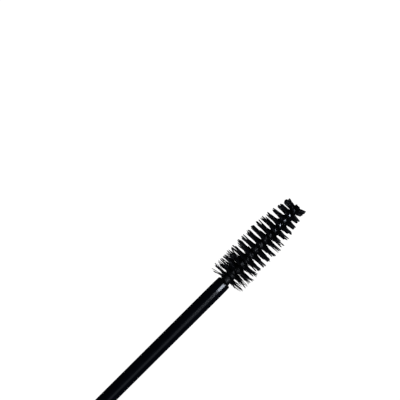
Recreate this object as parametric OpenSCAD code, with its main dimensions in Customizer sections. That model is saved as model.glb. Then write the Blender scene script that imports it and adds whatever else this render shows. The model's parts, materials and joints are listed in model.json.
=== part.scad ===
// Mascara, open: a bottle with a wiper in its neck, and the wand that screws into it.
// Both lie on their lower flats along X, the wand drawn straight out in front of the bottle's mouth.
// Wand modules are drawn along +Z from the cap's closed end, bottle modules along +Z from the base.

/* [Section] */
// Width across the flats of the case, the collar and the cap
section = 18; // [17.6:0.1:20]
// Radius of the section's rounded corners
corner_r = 5.5; // [3:0.1:6]

/* [Bottle] */
// Length from the base to the shoulder, collar included
body_len = 86; // [84:1:100]
// Height of the metal collar
collar_h = 3.2; // [2:0.1:6]
// Height of the threaded neck above the shoulder, wiper flange included
neck_h = 12.5; // [12:0.1:14]
// Diameter of the neck under its thread
neck_d = 10.8; // [10.6:0.1:11]

/* [Thread] */
// Axial distance between two turns of the single right-hand thread
thread_pitch = 2.4; // [2.2:0.1:2.8]
// Turns of thread on the neck and in the cap
thread_turns = 2; // [1:1:3]

/* [Wand] */
// Length of the cap
cap_len = 46; // [42:1:60]
// Length of rod that stands out of the cap's rim
rod_out = 52; // [48:0.5:52]
// Diameter of the rod
rod_d = 3.7; // [3.4:0.05:3.75]

/* [Brush] */
// Diameter over the bristles at the widest rows
brush_d = 9.4; // [7:0.1:9.6]
// Number of bristle rows seen from one side, one for each half turn of the core
row_count = 15; // [12:1:15]
// Axial distance from one row to the next, half the lead of the twisted core
row_step = 1.65; // [1.5:0.01:1.7]
// Diameter of each of the core's two wires
wire_d = 0.62; // [0.5:0.01:0.64]

/* [Open position] */
// Free distance from the brush's tip to the bottle's mouth
mouth_gap = 42.35; // [20:0.05:60]

/* [Hidden] */
$fn = 64;
fit = 0.05;                    // radial clearance between fixed pieces
wall = 1.2;                    // wall of the moulded inner pieces

// Brush, measured from the rod's end
lead = 2 * row_step;           // of the core's left-hand twist
first_row = 1.15;              // middle of the first row
wire_tip = 0.3;                // bare wire beyond the last row
brush_len = first_row + (row_count - 0.5) * row_step + wire_tip;
row_gap = 0.04;                // between one row's section and the next
blade_h = 0.5;                 // thickness of a row along the brush
full_rows = 9;                 // rows from the rod's end before the brush narrows
tip_r = 2.85;                  // reach of the bristles in the last row
tip_offset = 0.62;             // the bristles at the tip are trimmed a little off centre
wire_gap = 0.1;                // one bristle's thickness, between the two twisted wires
wire_orbit = (wire_d + wire_gap) / 2;
wire_bore_r = wire_d + wire_gap / 2 + fit;
wire_depth = 8.5;              // of wire held in the rod
blade_start = wire_bore_r;
web_r = 0.5;                   // half width of a row's middle, where the wires grip it

// Places on the common axis
axis_z = section / 2;          // both bodies lie on a flat, so the axis is half a section up
total_len = cap_len + rod_out + brush_len + mouth_gap + neck_h + body_len;
cap_x = -total_len / 2;        // closed end of the cap
base_x = total_len / 2;        // base of the bottle
rim_gap = 0.3;                 // gap left between the cap's rim and the collar when closed

// Roundings of the section's ends
base_edge = 0.35;              // of the case, at the base plug
fine_edge = 0.12;              // of the case and the collar, where they meet
rim_edge = 0.25;               // of the collar and the cap's rim, which face each other
roof_edge = 0.9;               // of the cap's closed end

// Bottle, measured from the base
plug_flange = 0.8;
plug_inset = 0.5;              // of the plug's flange from the flats of the case
plug_end = 3.6;
vial_start = 4;
vial_floor = vial_start + wall;
case_end = body_len - collar_h;
vial_r = section / 2 - 1.7;
case_bore_r = vial_r + 0.1;
reservoir_r = vial_r - 1.3;
shoulder_cone = 2.2;           // height of the cone from the reservoir up to the neck's bore
neck_r = neck_d / 2;
neck_bore_r = neck_r - wall;
collar_bore_r = neck_r + 0.15;
wiper_flange = 0.7;
neck_end = body_len + neck_h - wiper_flange;
mouth = body_len + neck_h;
thread_low = body_len + 3.2;   // middle of the neck ridge where it starts

// Thread ridges
ridge_h = 0.8;                 // height of the neck's ridge
ridge_foot = 1.1;              // its width at the foot
ridge_top = 0.6;               // and at the crest
root_r = neck_r + 1;           // bore of the cap liner between its ridges
embed = 0.15;                  // depth that a ridge's foot is sunk into its wall

// Wand, measured from the cap's closed end
shell_roof = 3;
disc_h = 0.8;
disc_recess = 0.15;            // of the end disc below the end of the cap
disc_r = 6.2;
shell_bore_r = section / 2 - 1.5;
liner_r = shell_bore_r - fit;
liner_end = cap_len - 0.6;
seal_face = cap_len + rim_gap - neck_h;  // meets the wiper's flange when closed
seal_h = 1.2;
seal_r = neck_r + 0.2;
liner_roof = seal_face - seal_h - 2 * fit;
roof_h = 3;
gland_r = seal_r + 0.08;
gland_end = seal_face + 0.1;
rod_flange_r = 3.7;
rod_flange_h = 1;
rod_plug_r = 2.7;
socket_bore_r = rod_plug_r + 0.02;
socket_r = rod_plug_r + 1.6;
socket_start = liner_roof - 12;
rod_start = socket_start + 1;
rod_r = rod_d / 2;
rod_end = cap_len + rod_out;
rod_nose = 3.2;                // length over which the rod draws in to its end
rod_nose_drop = 0.06;          // how much its radius shrinks there
rod_edge = 0.42;               // rounding of the rod's edge

row_nodes = [for (i = [1:row_count]) str("bristle_row_", i < 10 ? "0" : "", i)];

gloss_black = "#101116";
dark_metal = "#5a5c62";
moulded_black = "#1b1c20";
natural_white = "#e4e2da";
paste_black = "#08080a";
steel = "#b9bcc0";
rubber_grey = "#3a3a3c";
bristle_black = "#0b0c0f";

// Places a bottle module: its +Z becomes -X, from the base to the mouth
module in_bottle() translate([base_x, 0, axis_z]) rotate([0, -90, 0]) children();

// Places a wand module: its +Z becomes +X, from the cap's closed end to the brush's tip
module in_wand() translate([cap_x, 0, axis_z]) rotate([0, 90, 0]) children();

// The rounded square section, drawn smaller by inset on every side
module soft_square(inset = 0) {
    w = section - 2 * inset;
    r = corner_r - inset;
    square([w - 2 * r, w], center = true);
    square([w, w - 2 * r], center = true);
    for (x = [-1, 1], y = [-1, 1]) translate([x, y] * (w / 2 - r)) circle(r);
}

// Right half of a lengthwise outline from z0 to z1, rounded by round0 and round1 at its ends
function rounded_side(half, z0, z1, round0, round1) = concat(
    [for (a = [0:22.5:90]) [half - round0 * (1 - sin(a)), z0 + round0 * (1 - cos(a))]],
    [for (a = [90:-22.5:0]) [half - round1 * (1 - sin(a)), z1 - round1 * (1 - cos(a))]]);

// A length of the section from z0 to z1 with rounded ends: two crossed slabs and four corner posts
module soft_bar(z0, z1, round0, round1) {
    flat = section / 2 - corner_r;
    side = rounded_side(section / 2, z0, z1, round0, round1);
    mirrored = [for (i = [len(side) - 1:-1:0]) [-side[i][0], side[i][1]]];
    for (turn = [0, 90]) rotate([90, 0, turn])
        linear_extrude(2 * flat, center = true) polygon(concat(side, mirrored));
    for (x = [-flat, flat], y = [-flat, flat]) translate([x, y, 0])
        rotate_extrude()
            polygon(concat([[0, z0]], rounded_side(corner_r, z0, z1, round0, round1), [[0, z1]]));
}

module bore(r, z0, z1) translate([0, 0, z0]) cylinder(r = r, h = z1 - z0);

module tube(r_out, r_in, z0, z1) {
    difference() {
        bore(r_out, z0, z1);
        bore(r_in, z0 - 1, z1 + 1);
    }
}

// A right-hand helical ridge from radius foot to radius crest, fading into its wall at both ends
module helical_ridge(foot, crest, start) {
    steps = 30 * thread_turns;
    fade = 4;
    function height(i) = min(1, i / fade, (steps - i) / fade);
    function profile(i) = let (a = 360 * thread_turns * i / steps, z = start + thread_pitch * a / 360,
                               r = foot + (crest - foot) * max(0.1, height(i)))
        [for (p = [[foot, -ridge_foot / 2], [r, -ridge_top / 2], [r, ridge_top / 2], [foot, ridge_foot / 2]])
            [p[0] * cos(a), p[0] * sin(a), z + p[1]]];
    sweep([for (i = [0:steps]) profile(i)], crest < foot);
}

// One closed solid through a list of rings; caps lists the faces that close a ring
module sweep(rings, flip = false, caps = []) {
    n = len(rings[0]);
    last = (len(rings) - 1) * n;
    lids = len(caps) > 0 ? caps : [[for (k = [0:n - 1]) k]];
    sides = [for (i = [0:len(rings) - 2], k = [0:n - 1], half = [0, 1])
        half == 0 ? [i * n + k, i * n + (k + 1) % n, (i + 1) * n + (k + 1) % n]
                  : [i * n + k, (i + 1) * n + (k + 1) % n, (i + 1) * n + k]];
    faces = concat(sides, [for (f = lids) reversed(f)], [for (f = lids) [for (k = f) last + k]]);
    polyhedron([for (ring = rings, p = ring) p],
               flip ? [for (f = faces) reversed(f)] : faces, convexity = 10);
}

function reversed(f) = [for (k = [len(f) - 1:-1:0]) f[k]];

module outer_case() {
    color(gloss_black) in_bottle() difference() {
        soft_bar(plug_flange, case_end, base_edge, fine_edge);
        bore(case_bore_r, 0, case_end + 1);
    }
}

module base_plug() {
    color(dark_metal) in_bottle() {
        linear_extrude(plug_flange) soft_square(plug_inset);
        bore(case_bore_r - fit, plug_flange, plug_end);
    }
}

// Reservoir, shoulder and threaded neck in one moulding
module inner_vial() {
    cone_end = case_end - wall;
    cone_start = cone_end - shoulder_cone;
    color(moulded_black) in_bottle() {
        rotate_extrude() polygon([
            [0, vial_start], [vial_r, vial_start], [vial_r, case_end], [neck_r, case_end], [neck_r, neck_end],
            [neck_bore_r, neck_end], [neck_bore_r, cone_end], [reservoir_r, cone_start],
            [reservoir_r, vial_floor], [0, vial_floor]]);
        helical_ridge(neck_r - embed, neck_r + ridge_h, thread_low);
    }
}

module collar_ring() {
    color(dark_metal) in_bottle() difference() {
        soft_bar(case_end, body_len, fine_edge, rim_edge);
        bore(collar_bore_r, case_end - 1, body_len + 1);
    }
}

// Flange, throat and the cone that ends in the lip around the rod
module wiper() {
    skin = 0.5;
    throat_r = 3.3;
    flange_r = neck_r - 0.2;
    lip_r = rod_r + 0.07;
    body_r = neck_bore_r - 0.03;
    cone_start = neck_end - 9.5;
    lip = neck_end - 13;
    color(natural_white) in_bottle() rotate_extrude() polygon([
        [throat_r, mouth], [flange_r, mouth], [flange_r, neck_end], [body_r, neck_end],
        [body_r, cone_start], [lip_r + skin, lip], [lip_r, lip], [lip_r, lip + skin],
        [throat_r, cone_start + skin]]);
}

// The product, with the channel that the brush keeps open in it
module mascara_paste() {
    skin_gap = 0.02;
    brush_play = 0.45;             // left all round the bristles
    channel_r = brush_d / 2 + brush_play;
    channel_start = vial_floor + 2;
    fill_level = 62;
    color(paste_black) in_bottle() difference() {
        bore(reservoir_r - skin_gap, vial_floor + skin_gap, fill_level);
        bore(channel_r, channel_start, fill_level + 1);
    }
}

module cap_shell() {
    color(gloss_black) in_wand() difference() {
        soft_bar(0, cap_len, roof_edge, rim_edge);
        bore(shell_bore_r, shell_roof, cap_len + 1);
        bore(disc_r + fit, -1, disc_h);
    }
}

module cap_end_disc() {
    color(dark_metal) in_wand() bore(disc_r, disc_recess, disc_h);
}

// Threaded inner cap with a long socket for the rod
module cap_liner() {
    rib_w = 0.8;
    rib_count = 6;
    rib_start = socket_start + 2;
    roof_start = liner_roof - roof_h;
    sunk = 0.3;   // depth of a rib's foot in the socket, and its gap from the shell
    color(moulded_black) in_wand() {
        rotate_extrude() polygon([
            [socket_bore_r, socket_start], [socket_r, socket_start], [socket_r, roof_start],
            [liner_r, roof_start], [liner_r, liner_end], [root_r, liner_end], [root_r, gland_end],
            [gland_r, gland_end], [gland_r, liner_roof], [socket_bore_r, liner_roof]]);
        for (i = [0:rib_count - 1]) rotate(360 / rib_count * i)
            translate([socket_r - sunk, -rib_w / 2, rib_start])
                cube([liner_r - socket_r - sunk, rib_w, roof_start - rib_start + 0.1]);
        // the ridge starts where it lies midway between the neck's turns when the cap is closed
        helical_ridge(root_r + embed, neck_r + 0.2,
                      cap_len + body_len + rim_gap - thread_low - thread_turns * thread_pitch);
    }
}

module seal_ring() {
    color(rubber_grey) in_wand() tube(seal_r, rod_flange_r + 0.2, seal_face - seal_h - fit, seal_face - fit);
}

// Plug and flange held by the liner, then the shaft, rounded off where it grips the core wires
module rod() {
    nose_steps = 8;
    chamfer = 0.3;
    nose_r = rod_r - rod_nose_drop;
    nose = [for (i = [0:nose_steps]) let (t = i / nose_steps)
        [rod_r - rod_nose_drop * t * t, rod_end - rod_edge - (rod_nose - rod_edge) * (1 - t)]];
    edge = [for (a = [15:15:90]) [nose_r - rod_edge * (1 - cos(a)), rod_end - rod_edge * (1 - sin(a))]];
    flange_end = liner_roof + rod_flange_h;
    color(gloss_black) in_wand() difference() {
        rotate_extrude() polygon(concat(
            [[0, rod_start], [rod_plug_r - chamfer, rod_start], [rod_plug_r, rod_start + 2 * chamfer],
             [rod_plug_r, liner_roof], [rod_flange_r, liner_roof], [rod_flange_r, flange_end],
             [rod_r, flange_end + 0.2]], nose, edge, [[0, rod_end]]));
        bore(wire_bore_r, rod_end - wire_depth - 0.3, rod_end + 1);
    }
}

// Angle of the bristles' plane at a distance z beyond the rod's end: the core has a left-hand twist
function twist(z) = -360 * (z - first_row) / lead;

// One of the two wires twisted into the core, a quarter turn from the bristles that they grip
module core_wire(side) {
    sides = 8;
    per_turn = 12;
    z0 = -wire_depth;
    z1 = brush_len;
    steps = ceil((z1 - z0) / lead * per_turn);
    slope = atan(2 * PI * wire_orbit / lead);
    function ring(i) = let (z = z0 + (z1 - z0) * i / steps, a = twist(z) + 180 * side)
        [for (k = [0:sides - 1]) let (b = 360 * k / sides, u = wire_d / 2 * cos(b), v = wire_d / 2 * sin(b))
            [(wire_orbit + u) * cos(a) - v * sin(a) * cos(slope),
             (wire_orbit + u) * sin(a) + v * cos(a) * cos(slope), z + v * sin(slope)]];
    color(steel) in_wand() translate([0, 0, rod_end]) sweep([for (i = [0:steps]) ring(i)]);
}

// Envelope of the bristles: full for most of the brush, then narrowing to the tip
function taper(row) = max(0, row - full_rows + 1) / (row_count - full_rows);
function row_r(row) = brush_d / 2 - (brush_d / 2 - tip_r) * pow(taper(row), 1.15);
function row_offset(row) = tip_offset * pow(row / (row_count - 1), 1.6);

// One row: bristles fanned out over half a turn on both sides, joined by their middles, which the
// wires grip. A ring runs round one side's section, across the core, round the other's and back.
module bristle_row(row) {
    steps = 12;
    low = first_row + (row - 0.5) * row_step + row_gap / 2;
    height = row_step - row_gap;
    reach = row_r(row);
    web = wire_gap / 2 - 0.015;    // the wires' own gap, less a hair on each side
    h = blade_h / 2;
    section_points = [
        [reach, 0, -h], [reach, 0, h], [blade_start, 0, h], [web_r, web, 0],
        [-web_r, web, 0], [-blade_start, 0, -h], [-reach, 0, -h], [-reach, 0, h],
        [-blade_start, 0, h], [-web_r, -web, 0], [web_r, -web, 0], [blade_start, 0, -h]];
    caps = [[0, 1, 2, 11], [2, 3, 10], [2, 10, 11], [3, 4, 9, 10], [4, 5, 8], [4, 8, 9], [5, 6, 7, 8]];
    function shift(u) = row_offset(row) * max(0, abs(u) - blade_start) / (reach - blade_start);
    function ring(z) = let (a = twist(z) + 90)
        [for (p = section_points)
            [p[0] * cos(a) - p[1] * sin(a), p[0] * sin(a) + p[1] * cos(a) + shift(p[0]), z + p[2]]];
    color(bristle_black) in_wand() translate([0, 0, rod_end])
        sweep([for (i = [0:steps]) ring(low + height * i / steps)], false, caps);
}

outer_case();
base_plug();
inner_vial();
collar_ring();
wiper();
mascara_paste();
cap_shell();
cap_end_disc();
cap_liner();
seal_ring();
rod();
core_wire(0);  // core_wire_a
core_wire(1);  // core_wire_b
for (row = [0:row_count - 1]) bristle_row(row);
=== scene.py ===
"""The looks of an open mascara, lying down: bristles, core, rod, cap and bottle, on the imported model."""

import json
import math
import random
from typing import NamedTuple

import bpy
from mathutils import Matrix, Vector, noise


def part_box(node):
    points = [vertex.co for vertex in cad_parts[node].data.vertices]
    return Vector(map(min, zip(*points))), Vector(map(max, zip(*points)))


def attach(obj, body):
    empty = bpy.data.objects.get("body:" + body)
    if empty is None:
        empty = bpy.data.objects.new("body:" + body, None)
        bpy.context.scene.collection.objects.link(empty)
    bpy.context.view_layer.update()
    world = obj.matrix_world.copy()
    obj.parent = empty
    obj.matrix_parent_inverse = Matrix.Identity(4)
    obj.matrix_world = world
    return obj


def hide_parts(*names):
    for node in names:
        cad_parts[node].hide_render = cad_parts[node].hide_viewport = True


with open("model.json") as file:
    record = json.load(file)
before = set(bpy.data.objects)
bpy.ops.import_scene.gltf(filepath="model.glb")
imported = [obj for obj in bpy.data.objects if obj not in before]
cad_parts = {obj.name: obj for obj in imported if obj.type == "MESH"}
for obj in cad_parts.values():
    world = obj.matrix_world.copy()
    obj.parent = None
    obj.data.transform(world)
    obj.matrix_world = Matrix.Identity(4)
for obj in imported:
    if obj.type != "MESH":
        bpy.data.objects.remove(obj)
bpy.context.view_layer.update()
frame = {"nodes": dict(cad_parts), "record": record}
nodes = frame["nodes"]
bodies = frame["record"]["behaviour"]["bodies"]

MM = 0.001

# Places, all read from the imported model
AXIS_Z = (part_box("rod")[0].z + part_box("rod")[1].z) / 2
ROD_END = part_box("rod")[1].x
BRUSH_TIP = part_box("core_wire_a")[1].x
ROWS = sorted(n for n in nodes if n.startswith("bristle_row_"))
ROW_X = [(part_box(n)[0].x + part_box(n)[1].x) / 2 for n in ROWS]
ROW_LEN = (ROW_X[-1] - ROW_X[0]) / (len(ROWS) - 1)  # half a turn of the core
LEAD = 2 * ROW_LEN

# The core and what is caked on it
CORE_BEND = 0.5 * MM  # sideways at the tip, from handling
WIRE_R = 0.31 * MM
RESIDUE_SHARE = 0.72  # of the brush's length, from the rod

# The bristles
BRISTLE_SEED = 10
BRISTLES_A_ROW = 92
BRISTLE_R = (0.058, 0.082)  # thinnest and thickest radius, in millimetres
HAIR_R = (0.036, 0.048)  # the same for the finer ones near the rod
BRISTLE_LUMPS = (0.88, 1.16)  # factors on the radius, from ring to ring
HALF_RINGS = 9
CORE_HOLD = 0.1 * MM  # from the core's axis, where a half bristle starts
HELD = 0.1  # share of a half bristle, from the core, that its clump doesn't draw along
POINTED = 0.14  # share of it that narrows to the tip
CAKED_CORE_R = 1.2 * MM  # where the mascara on a bristle starts to thin out
ROOT_CAKE_START = 0.3 * MM
ROOT_CAKE_RISE = 0.5 * MM
ROOT_CAKE_FADE = 1.4 * MM
OUTLINE_SHIFT = 0.3 * MM  # of the trimmed outline towards +Y
CHANNEL_REACH = 5.05 * MM  # from the rod's axis, just inside the channel in the closed bottle's paste
QUARTER_GATHER = 0.3  # share of the way to the nearest quarter turn that clumps have gone
TUFTS = 7  # of fine hairs, on each side of a row
TUFT_LEAN = 0.7
TUFT_SWING = 0.6

# What differs between a row's two sides: first the one towards +Y, then the one towards -Y
SIDES = (0, 1)
SIDE_FATNESS = (1.08, 0.88)
SIDE_PULL = (1, 1.15)
ROOT_CAKE = (0.5, 2.4)  # extra thickness just outside the core, in bristle radii
ROW_LEAN = (-0.2, 0.28)  # along X at the tips of bristles that lie flat, in millimetres
LAST_LEAN = (0.35, 0.68)  # more of it in the last row
FLARE = (0.6, 0.21)  # spread of the tips about each quarter turn, in millimetres a millimetre
LAST_FLARE = (1.0, 1.0)

# The picture and its light
VIEW_CENTRE = (ROD_END + 9.77 * MM, 18.23 * MM)
WIDTH_SEEN = 96.7 * MM
WAND_ANGLE = 44.83  # of the wand against the picture's lower edge, in degrees
KEY_TINT = (0.88, 0.95, 1.08)
SOFTBOX_DISTANCE = 0.6
CARD_DISTANCE = 0.8


# ---------------------------------------------------------------- geometry helpers


def smooth_step(t):
    """0 below t = 0, 1 above t = 1, and a smooth rise between."""
    t = min(1.0, max(0.0, t))
    return t * t * (3 - 2 * t)


def mesh_piece(name, verts, faces, body, slot):
    """A new smooth-shaded mesh object made in the row frame, riding on a body, with its slot's finish."""
    mesh = bpy.data.meshes.new(name)
    mesh.from_pydata(verts, [], faces)
    mesh.validate()
    mesh.materials.append(FINISH[slot])
    for polygon in mesh.polygons:
        polygon.use_smooth = True
    piece = bpy.data.objects.new(name, mesh)
    bpy.context.scene.collection.objects.link(piece)
    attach(piece, body)
    return piece


def tube(verts, faces, path, radii, sides):
    """Adds a closed tube along path to verts and faces, with one radius for each of its points."""
    start = len(verts)
    count = len(path)
    up = Vector((1, 0, 0))
    for i, point in enumerate(path):
        ahead = (path[min(i + 1, count - 1)] - path[max(i - 1, 0)]).normalized()
        side = ahead.cross(up if abs(ahead.dot(up)) < 0.9 else Vector((0, 0, 1))).normalized()
        over = side.cross(ahead)
        for k in range(sides):
            angle = 2 * math.pi * k / sides
            verts.append(point + radii[i] * (math.cos(angle) * side + math.sin(angle) * over))
    for i in range(count - 1):
        for k in range(sides):
            a = start + i * sides + k
            b = start + i * sides + (k + 1) % sides
            faces.append((a, b, b + sides, a + sides))
    faces.append([start + k for k in reversed(range(sides))])
    faces.append([start + (count - 1) * sides + k for k in range(sides)])


# ---------------------------------------------------------------- material helpers


class Shader:
    """A Principled material under construction, patterned in the row frame's own metres."""

    def __init__(self, name, **constants):
        self.material = bpy.data.materials.new(name)
        self.material.use_nodes = True
        self.tree = self.material.node_tree
        self.bsdf = self.tree.nodes["Principled BSDF"]
        self.coords = self.tree.nodes.new("ShaderNodeTexCoord").outputs["Object"]
        for socket, value in constants.items():
            self.bsdf.inputs[socket.replace("_", " ")].default_value = value

    def link(self, output, socket):
        self.tree.links.new(output, self.bsdf.inputs[socket])

    def noise(self, feature, detail=4.0, rough=0.55, stretch=(1, 1, 1)):
        """Noise with features of about that many millimetres, longer along an axis with a large stretch."""
        mapping = self.tree.nodes.new("ShaderNodeMapping")
        mapping.inputs["Scale"].default_value = [1 / (feature * MM * s) for s in stretch]
        node = self.tree.nodes.new("ShaderNodeTexNoise")
        node.inputs["Scale"].default_value = 1.0
        node.inputs["Detail"].default_value = detail
        node.inputs["Roughness"].default_value = rough
        self.tree.links.new(self.coords, mapping.inputs["Vector"])
        self.tree.links.new(mapping.outputs["Vector"], node.inputs["Vector"])
        return node.outputs["Fac"]

    def ramp(self, value, *stops):
        """Numbers or colours against value, as (place, number or colour) stops."""
        node = self.tree.nodes.new("ShaderNodeValToRGB")
        elements = node.color_ramp.elements
        while len(elements) < len(stops):
            elements.new(0.5)
        for element, (place, colour) in zip(elements, stops, strict=True):
            element.position = place
            rgb = (colour,) * 3 if isinstance(colour, (int, float)) else colour
            element.color = (*rgb, 1)
        self.tree.links.new(value, node.inputs["Fac"])
        return node.outputs["Color"]

    def colour(self, value, *stops):
        self.link(self.ramp(value, *stops), "Base Color")

    def roughness(self, value, *stops):
        self.link(self.ramp(value, *stops), "Roughness")

    def math(self, operation, a, b=0.0):
        node = self.tree.nodes.new("ShaderNodeMath")
        node.operation = operation
        for value, socket in ((a, node.inputs[0]), (b, node.inputs[1])):
            if isinstance(value, (int, float)):
                socket.default_value = value
            else:
                self.tree.links.new(value, socket)
        return node.outputs[0]

    def mix(self, share, a, b):
        """Colour a where share is 0 and b where it is 1."""
        node = self.tree.nodes.new("ShaderNodeMix")
        node.data_type = "RGBA"
        for value, socket in ((share, node.inputs[0]), (a, node.inputs[6]), (b, node.inputs[7])):
            if isinstance(value, tuple):
                socket.default_value = (*value, 1)
            else:
                self.tree.links.new(value, socket)
        return node.outputs[2]

    def rise(self, value, start, end):
        """0 where value is start or less, 1 where it is end or more, and straight between."""
        scaled = self.math("MULTIPLY", self.math("SUBTRACT", value, start), 1 / (end - start))
        return self.math("MINIMUM", self.math("MAXIMUM", scaled, 0.0), 1.0)

    def along_x(self, start, end):
        """0 at x = start, 1 at x = end, in the row frame's metres."""
        split = self.tree.nodes.new("ShaderNodeSeparateXYZ")
        self.tree.links.new(self.coords, split.inputs[0])
        return self.rise(split.outputs["X"], start, end)

    def from_axis(self, inner, outer):
        """0 at radius inner from the common axis, 1 at radius outer, in metres."""
        split = self.tree.nodes.new("ShaderNodeSeparateXYZ")
        self.tree.links.new(self.coords, split.inputs[0])
        up = self.math("SUBTRACT", split.outputs["Z"], AXIS_Z)
        across = split.outputs["Y"]
        square = self.math("ADD", self.math("MULTIPLY", up, up), self.math("MULTIPLY", across, across))
        return self.rise(self.math("SQRT", square), inner, outer)

    def bump(self, height, strength, depth):
        """Bump of that many millimetres."""
        node = self.tree.nodes.new("ShaderNodeBump")
        node.inputs["Strength"].default_value = strength
        node.inputs["Distance"].default_value = depth * MM
        self.tree.links.new(height, node.inputs["Height"])
        self.link(node.outputs["Normal"], "Normal")


# ---------------------------------------------------------------- materials


def gloss_black():
    """Polished injection moulding: deep black, with faint smudges and hairlines along it."""
    shader = Shader("gloss_black", IOR=1.5, Coat_Weight=0.25, Coat_Roughness=0.04)
    smudges = shader.noise(9, detail=5, rough=0.6)
    hairlines = shader.noise(0.35, detail=2, stretch=(14, 1, 1))
    shader.colour(smudges, (0.3, (0.0075, 0.0075, 0.009)), (0.75, (0.013, 0.013, 0.015)))
    shader.roughness(smudges, (0.35, 0.07), (0.7, 0.15))
    shader.bump(hairlines, 0.06, 0.01)
    return shader.material


def rod_black():
    """The rod's moulding: blacker, under a film of product, with fine draw marks along it."""
    shader = Shader("rod_black", IOR=1.5, Specular_IOR_Level=0.03, Coat_Weight=1.0, Coat_Roughness=0.09)
    marks = shader.noise(0.25, detail=3, stretch=(20, 1, 1))
    film = shader.noise(2.5, detail=4)
    shader.colour(film, (0.3, (0.0008, 0.0012, 0.003)), (0.7, (0.0016, 0.0022, 0.0045)))
    shader.roughness(film, (0.3, 0.26), (0.75, 0.4))
    shader.bump(marks, 0.03, 0.01)
    return shader.material


def moulded_black():
    """Plain polypropylene with a spark-eroded grain."""
    shader = Shader("moulded_black", IOR=1.49)
    grain = shader.noise(0.12, detail=3, rough=0.7)
    flow = shader.noise(6, detail=3, stretch=(3, 1, 1))
    shader.colour(flow, (0.3, (0.012, 0.012, 0.013)), (0.7, (0.022, 0.022, 0.024)))
    shader.roughness(grain, (0.3, 0.32), (0.7, 0.48))
    shader.bump(grain, 0.25, 0.02)
    return shader.material


def dark_metal():
    """Satin anodised aluminium, with lathe lines round the axis."""
    shader = Shader("dark_metal", Metallic=1.0)
    lines = shader.noise(0.09, detail=2, stretch=(1, 40, 40))
    tone = shader.noise(4, detail=4)
    shader.colour(tone, (0.3, (0.44, 0.444, 0.46)), (0.7, (0.52, 0.523, 0.535)))
    shader.roughness(lines, (0.3, 0.34), (0.7, 0.48))
    shader.bump(lines, 0.15, 0.01)
    return shader.material


def wiper_natural():
    """Natural polyethylene, stained where the product wipes off in the throat."""
    shader = Shader("wiper_natural", IOR=1.51, Subsurface_Weight=0.3, Subsurface_Scale=0.6 * MM)
    cloud = shader.noise(2, detail=4)
    blots = shader.noise(0.7, detail=5, rough=0.65)
    stain = shader.math("ADD", shader.from_axis(2.6 * MM, 4.6 * MM), shader.math("MULTIPLY", blots, 0.5))
    clean = shader.ramp(cloud, (0.3, (0.66, 0.64, 0.58)), (0.7, (0.76, 0.745, 0.69)))
    black = shader.ramp(stain, (0.66, 1.0), (0.74, 0.0))
    shader.link(shader.mix(black, clean, (0.008, 0.008, 0.009)), "Base Color")
    shader.roughness(blots, (0.3, 0.3), (0.7, 0.45))
    shader.bump(blots, 0.2, 0.05)
    return shader.material


def mascara_black():
    """Wet paste with the drag marks that the brush leaves."""
    shader = Shader("mascara_black", IOR=1.33, Coat_Weight=0.05, Coat_Roughness=0.12)
    drag = shader.noise(1.2, detail=5, rough=0.6, stretch=(4, 1, 1))
    shader.colour(drag, (0.3, (0.002, 0.002, 0.0026)), (0.7, (0.005, 0.0048, 0.0052)))
    shader.roughness(drag, (0.3, 0.32), (0.7, 0.52))
    shader.bump(drag, 0.8, 0.3)
    return shader.material


def seal_rubber():
    """Grey elastomer with a matt bloom."""
    shader = Shader("seal_rubber", IOR=1.5)
    bloom = shader.noise(0.8, detail=5, rough=0.7)
    shader.colour(bloom, (0.3, (0.035, 0.035, 0.036)), (0.7, (0.06, 0.06, 0.06)))
    shader.roughness(bloom, (0.3, 0.55), (0.7, 0.75))
    shader.bump(bloom, 0.3, 0.03)
    return shader.material


def steel_wire():
    """Bright wire, coated with mascara near the rod, in patches further out, and again at its end."""
    shader = Shader("steel_wire", Metallic=1.0)
    patches = shader.noise(0.9, detail=3, rough=0.5)
    draw = shader.noise(0.05, detail=2, stretch=(12, 1, 1))
    bare = shader.math("ADD", shader.along_x(ROD_END, BRUSH_TIP), shader.math("MULTIPLY", patches, 0.9))
    dipped = shader.along_x(BRUSH_TIP - 2.3 * MM, BRUSH_TIP - 1.5 * MM)
    bare = shader.math("SUBTRACT", bare, shader.math("MULTIPLY", dipped, 0.7))
    coated = shader.ramp(shader.math("MULTIPLY", bare, 0.6), (0.6, 1.0), (0.95, 0.0))
    metal = shader.ramp(draw, (0.3, (0.38, 0.385, 0.4)), (0.7, (0.48, 0.485, 0.5)))
    shader.link(shader.mix(coated, metal, (0.03, 0.032, 0.036)), "Base Color")
    shader.roughness(coated, (0.0, 0.16), (1.0, 0.35))
    shader.bump(patches, 0.3, 0.03)
    return shader.material


def bristle_nylon():
    """Black monofilament under a thin, lumpy coat of mascara."""
    shader = Shader("bristle_nylon", IOR=1.33)
    lumps = shader.noise(0.16, detail=3, rough=0.6)
    tint = shader.noise(1.6, detail=3)
    shader.colour(tint, (0.3, (0.003, 0.0034, 0.0045)), (0.7, (0.0065, 0.006, 0.008)))
    shader.roughness(lumps, (0.3, 0.3), (0.7, 0.55))
    shader.bump(lumps, 0.5, 0.03)
    return shader.material


FINISH = {
    "gloss_black": gloss_black(),
    "dark_metal": dark_metal(),
    "moulded_black": moulded_black(),
    "wiper_natural": wiper_natural(),
    "mascara_black": mascara_black(),
    "seal_rubber": seal_rubber(),
    "steel_wire": steel_wire(),
    "bristle_nylon": bristle_nylon(),
}
ROD_FINISH = rod_black()

for subpart in frame["record"]["subparts"]:
    node = nodes[subpart["node"]]
    finish = ROD_FINISH if subpart["node"] == "rod" else FINISH[subpart["material_slot"]]
    node.data.materials.clear()
    node.data.materials.append(finish)


# ---------------------------------------------------------------- the core


def bend(x):
    """How far the core has strayed towards +Y at x."""
    return CORE_BEND * max(0.0, x - ROD_END) / (BRUSH_TIP - ROD_END)


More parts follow.
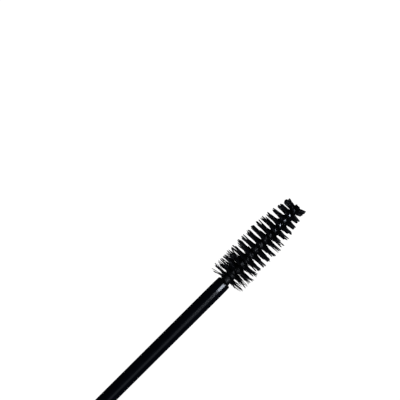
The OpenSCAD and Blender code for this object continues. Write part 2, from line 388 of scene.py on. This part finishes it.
def on_brush(x, radius, turn):
    """The point at that distance from the core; turn is 0 towards +Y and grows the way the core twists."""
    return Vector((x, bend(x) + radius * math.cos(turn), AXIS_Z - radius * math.sin(turn)))


def twist(x, row_x):
    """How far the core has turned at x, from where that row lies flat."""
    return 2 * math.pi * (x - row_x) / LEAD


def core_wire(name, node, strand):
    """One strand of the twisted core, round and smooth, along the CAD wire's whole length."""
    low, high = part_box(node)
    orbit = (high.y - low.y) / 2 - WIRE_R
    points_a_turn = 40
    count = int((high.x - low.x) / LEAD * points_a_turn)
    path = []
    for i in range(count + 1):
        x = low.x + (high.x - low.x) * i / count
        path.append(on_brush(x, orbit, twist(x, ROW_X[0]) + math.pi / 2 + math.pi * strand))
    radii = [WIRE_R] * (count + 1)
    radii[0] = radii[-1] = WIRE_R * 0.7  # cut ends, a little rounded
    verts, faces = [], []
    tube(verts, faces, path, radii, 12)
    piece = mesh_piece(name, verts, faces, "wand", "steel_wire")
    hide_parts(node)


def residue():
    """Mascara caked around the core, thick at the rod and gone towards the tip."""
    around, along = 36, 220
    start = ROD_END - 0.03 * MM
    end = ROD_END + RESIDUE_SHARE * (BRUSH_TIP - ROD_END)
    run_out = 0.7  # share of its length where it starts to sink between the wires
    verts = []
    for i in range(along + 1):
        s = i / along
        x = start + (end - start) * s
        radius = 1.25 - 0.3 * smooth_step(s / run_out)
        radius *= 1 - 0.6 * smooth_step((s - run_out) / (1 - run_out))
        for k in range(around):
            angle = 2 * math.pi * k / around
            spot = Vector((x, math.cos(angle) * MM, math.sin(angle) * MM)) / MM
            lump = noise.noise(spot * 0.9) * 0.26 + noise.noise(spot * 2.3) * 0.12
            verts.append(on_brush(x, (radius + lump) * MM, angle))
    faces = []
    for i in range(along):
        for k in range(around):
            a = i * around + k
            b = i * around + (k + 1) % around
            faces.append((a, a + around, b + around, b))
    faces.append(list(range(around)))
    faces.append([along * around + k for k in reversed(range(around))])
    mesh_piece("mascara_on_core", verts, faces, "wand", "mascara_black")


# ---------------------------------------------------------------- the bristles


class Clump(NamedTuple):
    """Bristles of one side that stick together. A row's half turn runs from place -0.5 to 0.5."""

    place: float
    pull: float  # share of the way to the clump's middle that its tips have gone
    lean: float  # of the tips along X, in millimetres
    swing: float  # of the tips round the core, in radians
    reach: float  # of the tips, as a share of the outline's


class Style:
    """How a row differs from its neighbours: sparse and hairy at the rod, laden with mascara at the tip."""

    def __init__(self, index):
        node = ROWS[index]
        low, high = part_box(node)
        self.x = ROW_X[index]
        self.last = index == len(ROWS) - 1
        self.reach = (high.y - low.y) / 2
        self.shift = (high.y + low.y) / 2 + OUTLINE_SHIFT * smooth_step(index / 6) - bend(self.x)
        self.hairy = max(0.0, 1 - index / 4.5)  # 1 in the first row, 0 from the sixth
        self.sparse = max(0.0, 1 - index / 2)  # 1 in the first row, 0 from the third
        self.first_place = -0.5
        if index == 0:  # the rod hides its beginning
            self.first_place = (ROD_END + 0.12 * MM - self.x) / ROW_LEN
        crowd = (1 + 1.1 * self.hairy - 1.55 * self.sparse) * (0.85 if self.last else 1)
        self.count = int(BRISTLES_A_ROW * (0.5 - self.first_place) * crowd)
        self.fine_share = 0.85 * min(1.0, 1.15 * self.hairy)
        self.fine_fatness = 0.8 + 0.5 * self.sparse
        self.fatness = 1 + 0.25 * smooth_step((index - 8) / 6)
        self.fatness *= 1 - 0.4 * self.hairy + 0.35 * self.sparse
        self.caking = 1.8 + 0.4 * smooth_step((index - 9) / 4)
        self.caked_to = (3.4 - 1.4 * self.sparse) * MM
        self.stray = 0.12 if self.last else 0.05
        self.flare = LAST_FLARE if self.last else FLARE


def to_quarter(place):
    """From that place in a half turn to the nearest quarter turn, where bristles lie flat or upright."""
    return round(2 * place) / 2 - place


def clumps_of(rng, hairy):
    """The clumps on one side of a row."""
    clumps = []
    place = rng.uniform(-0.54, -0.46)
    while place < 0.54:
        gather = QUARTER_GATHER * (1 - 0.5 * hairy) * (1 if abs(place) < 0.25 else 0.4)
        clumps.append(
            Clump(
                place=place,
                pull=rng.uniform(0.4, 0.8) * (1 - 0.2 * hairy),
                lean=rng.gauss(0, 0.09 + 0.12 * hairy),
                swing=to_quarter(place) * math.pi * gather + rng.gauss(0, 0.13 + 0.12 * hairy),
                reach=rng.uniform(0.95 - 0.02 * hairy, 1.03),
            )
        )
        place += rng.uniform(0.07, 0.14)
    return clumps


def tufts_of(rng):
    """The lean and swing of each tuft of fine hairs on one side of a row."""
    tufts = []
    for _ in range(TUFTS):
        lean = rng.uniform(-TUFT_LEAN, TUFT_LEAN)
        swing = rng.uniform(-TUFT_SWING, TUFT_SWING)
        tufts.append((lean, swing))
    return tufts


def reach_at(style, side, turn, trim):
    """How far a bristle reaches from the core: to the row's outline, trimmed, and within the channel."""
    towards_y = (-1 if side else 1) * math.cos(turn)
    outline = style.reach + style.shift * towards_y
    return min(outline * trim, CHANNEL_REACH - bend(style.x) * towards_y)


def half_bristle(rng, style, side, x, turn, reach, drawn, lean, fat):
    """Points and radii of one bristle from the core outwards, its tip drawn along and round and leaning."""
    draw_x, draw_turn = drawn
    points = []
    for i in range(HALF_RINGS):
        s = i / (HALF_RINGS - 1)
        radius = CORE_HOLD + (reach - CORE_HOLD) * s
        grip = smooth_step((s - HELD) / (1 - HELD))
        outside = radius - CAKED_CORE_R
        at_root = smooth_step((radius - ROOT_CAKE_START) / ROOT_CAKE_RISE)
        at_root *= 1 - smooth_step(outside / ROOT_CAKE_FADE)
        caked = style.caking * (1 - smooth_step(outside / style.caked_to)) + ROOT_CAKE[side] * at_root
        pointed = 1 - 0.5 * smooth_step((s - 1 + POINTED) / POINTED)
        angle = turn + draw_turn * grip + math.pi * side
        at = on_brush(x + draw_x * grip + lean * s ** 1.5, radius, angle)
        points.append((at, fat * (1 + caked) * pointed * rng.uniform(*BRISTLE_LUMPS)))
    return points


def bristle_row(index, rng):
    """The bristles of one half turn, each a filament from tip to tip through the core, stuck in clumps."""
    node = ROWS[index]
    style = Style(index)
    clumps = [clumps_of(rng, style.hairy) for _ in SIDES]
    tufts = [tufts_of(rng) for _ in SIDES]
    verts, faces = [], []
    for j in range(style.count):
        spread = (0.5 - style.first_place) * (j + 0.5) / style.count
        place = style.first_place + spread + rng.gauss(0, 0.006)
        x = style.x + place * ROW_LEN
        turn = twist(x, style.x)
        flat = math.cos(turn) ** 2
        fine = rng.random() < style.fine_share
        if fine:
            fat = rng.uniform(*HAIR_R) * style.fine_fatness * MM
        else:
            fat = rng.uniform(*BRISTLE_R) * style.fatness * MM
        halves = []
        for side in SIDES:
            clump = min(clumps[side], key=lambda c: abs(c.place - place))
            reach = reach_at(style, side, turn, clump.reach * (1.03 - abs(rng.gauss(0, 0.05))))
            pull, lean, swing = clump.pull * SIDE_PULL[side], clump.lean, clump.swing
            if fine:
                tuft_lean, tuft_swing = tufts[side][int(TUFTS * min(0.99, max(0.0, place + 0.5)))]
                pull *= 0.3
                lean = tuft_lean + rng.gauss(0, 0.03)
                swing = tuft_swing + rng.gauss(0, 0.05)
            lean += rng.gauss(0, style.stray) + ROW_LEAN[side] * flat
            if style.last:
                lean += LAST_LEAN[side] * (0.4 + 0.6 * flat)
            lean -= style.flare[side] * to_quarter(clump.place) * ROW_LEN / MM
            apart = clump.place - place
            drawn = (apart * ROW_LEN * pull, apart * math.pi * pull + swing)
            fat_here = fat * SIDE_FATNESS[side]
            halves.append(half_bristle(rng, style, side, x, turn, reach, drawn, lean * MM, fat_here))
        whole = list(reversed(halves[1])) + halves[0]
        tube(verts, faces, [p for p, _ in whole], [r for _, r in whole], 6)
    piece = mesh_piece(f"bristles_{index + 1:02d}", verts, faces, "wand", "bristle_nylon")
    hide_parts(node)


rng = random.Random(BRISTLE_SEED)
for row in range(len(ROWS)):
    bristle_row(row, rng)
core_wire("wire_a", "core_wire_a", 0)
core_wire("wire_b", "core_wire_b", 1)
residue()


# ---------------------------------------------------------------- stage, lights and camera


def stage_floor():
    """A white floor, blown out to the camera and only dim in reflections."""
    bpy.ops.mesh.primitive_circle_add(vertices=96, radius=8, fill_type="NGON", location=(0, 0, -0.02 * MM))
    floor = bpy.context.object
    floor.name = "floor"
    material = bpy.data.materials.new("floor")
    material.use_nodes = True
    tree = material.node_tree
    tree.nodes.clear()
    output = tree.nodes.new("ShaderNodeOutputMaterial")
    rays = tree.nodes.new("ShaderNodeLightPath")
    seen = tree.nodes.new("ShaderNodeAddShader")
    backlight = tree.nodes.new("ShaderNodeEmission")
    backlight.inputs["Color"].default_value = (1, 1, 1, 1)
    backlight.inputs["Strength"].default_value = 0.72
    paper = tree.nodes.new("ShaderNodeBsdfDiffuse")
    paper.inputs["Color"].default_value = (0.8, 0.8, 0.8, 1)
    dim = tree.nodes.new("ShaderNodeBsdfDiffuse")
    dim.inputs["Color"].default_value = (0.03, 0.034, 0.048, 1)
    choose = tree.nodes.new("ShaderNodeMixShader")
    tree.links.new(backlight.outputs[0], seen.inputs[0])
    tree.links.new(paper.outputs[0], seen.inputs[1])
    tree.links.new(rays.outputs["Is Camera Ray"], choose.inputs[0])
    tree.links.new(dim.outputs[0], choose.inputs[1])
    tree.links.new(seen.outputs[0], choose.inputs[2])
    tree.links.new(choose.outputs[0], output.inputs["Surface"])
    floor.data.materials.append(material)
    return floor


def white_world():
    """White behind the floor's edge, and a low fill for everything else."""
    world = bpy.data.worlds.new("studio")
    bpy.context.scene.world = world
    world.use_nodes = True
    tree = world.node_tree
    background = tree.nodes["Background"]
    rays = tree.nodes.new("ShaderNodeLightPath")
    strength = tree.nodes.new("ShaderNodeMapRange")
    strength.inputs["To Min"].default_value = 0.01
    strength.inputs["To Max"].default_value = 1.1
    background.inputs["Color"].default_value = (1, 1, 1, 1)
    tree.links.new(rays.outputs["Is Camera Ray"], strength.inputs["Value"])
    tree.links.new(strength.outputs["Result"], background.inputs["Strength"])


def photo_camera():
    """Straight down on the brush, turned so that the wand runs up to the right."""
    data = bpy.data.cameras.new("camera")
    data.sensor_width = 36
    data.lens = 100
    data.clip_start = 0.01
    data.clip_end = 50
    distance = WIDTH_SEEN * data.lens / data.sensor_width
    camera = bpy.data.objects.new("camera", data)
    bpy.context.scene.collection.objects.link(camera)
    camera.location = (*VIEW_CENTRE, AXIS_Z + distance)
    camera.rotation_euler = (0, 0, math.radians(-WAND_ANGLE))
    bpy.context.scene.camera = camera


def new_light(name, kind):
    """A light object and its data, still to be aimed."""
    data = bpy.data.lights.new(name, kind)
    light = bpy.data.objects.new(name, data)
    bpy.context.scene.collection.objects.link(light)
    return light, data


def softbox(name, target, tilt_y, tilt_x, distance, size, radiance, tint=(1, 1, 1)):
    """A light above target, leant towards +Y and +X by those angles in degrees, its first side along X."""
    light, data = new_light(name, "AREA")
    data.shape = "RECTANGLE"
    data.size, data.size_y = size
    data.energy = radiance * math.pi * size[0] * size[1]
    data.color = tint
    towards = Vector((math.tan(math.radians(tilt_x)), math.tan(math.radians(tilt_y)), 1)).normalized()
    light.location = Vector(target) + towards * distance
    level = towards.cross((1, 0, 0)).normalized()
    light.rotation_mode = "QUATERNION"
    light.rotation_quaternion = Matrix((level.cross(towards), level, towards)).transposed().to_quaternion()
    return light


def floor_sun():
    """A broad sun that lays soft shadows on the floor."""
    light, data = new_light("floor_sun", "SUN")
    data.energy = 1.4
    data.angle = math.radians(50)
    light.rotation_euler = (math.radians(-20), math.radians(4), 0)
    return light


def table_glow():
    """The white table's own light, thrown up from just under the floor."""
    light, data = new_light("table_glow", "AREA")
    data.shape = "SQUARE"
    data.size = 1.6
    data.energy = 1.3 * math.pi * data.size ** 2
    light.location = (0, 0, -MM)
    light.rotation_euler = (math.pi, 0, 0)
    return light


def link_to(light, receivers, blockers):
    """Lets a light reach only some objects, and be shaded only by some."""
    lit = bpy.data.collections.new(f"{light.name}_lit")
    for item in receivers:
        lit.objects.link(item)
    shading = bpy.data.collections.new(f"{light.name}_shading")
    for item in blockers:
        shading.objects.link(item)
    light.light_linking.receiver_collection = lit
    light.light_linking.blocker_collection = shading


floor = stage_floor()
white_world()
photo_camera()
bpy.context.scene.view_settings.view_transform = "Standard"

rod_nose = (ROD_END, 0, AXIS_Z)
middle = (0, 0, AXIS_Z)
shown = [item for item in bpy.data.objects if item.type == "MESH" and item is not floor]
grips = [nodes[n] for n in bodies["bottle"] + ["cap_shell", "cap_end_disc", "cap_liner", "seal_ring"]]

# Two softboxes draw the highlights along the rod
for name, tilt_y, tilt_x, size, radiance in (
    ("key", -25, 7.2, (0.175, 0.46), 10.5),
    ("strip", -30, -14, (0.44, 0.32), 0.2),
):
    light = softbox(name, rod_nose, tilt_y, tilt_x, SOFTBOX_DISTANCE, size, radiance, KEY_TINT)
    link_to(light, shown, shown)

# The bottle and the cap, wider and out of the photograph's view, have lights of their own
link_to(floor_sun(), [floor, *grips], grips)
for name, tilt_y, tilt_x, size, radiance in (
    ("overhead", 20, 0, (0.9, 0.16), 3.0),
    ("front_card", -68, -10, (0.9, 0.25), 1.6),
    ("back_card", 62, 15, (0.9, 0.2), 1.8),
    ("base_card", 25, 66, (0.22, 0.7), 1.4),
    ("cap_card", -25, -66, (0.22, 0.7), 1.4),
):
    light = softbox(name, middle, tilt_y, tilt_x, CARD_DISTANCE, size, radiance)
    link_to(light, grips, grips)
link_to(table_glow(), grips, grips)
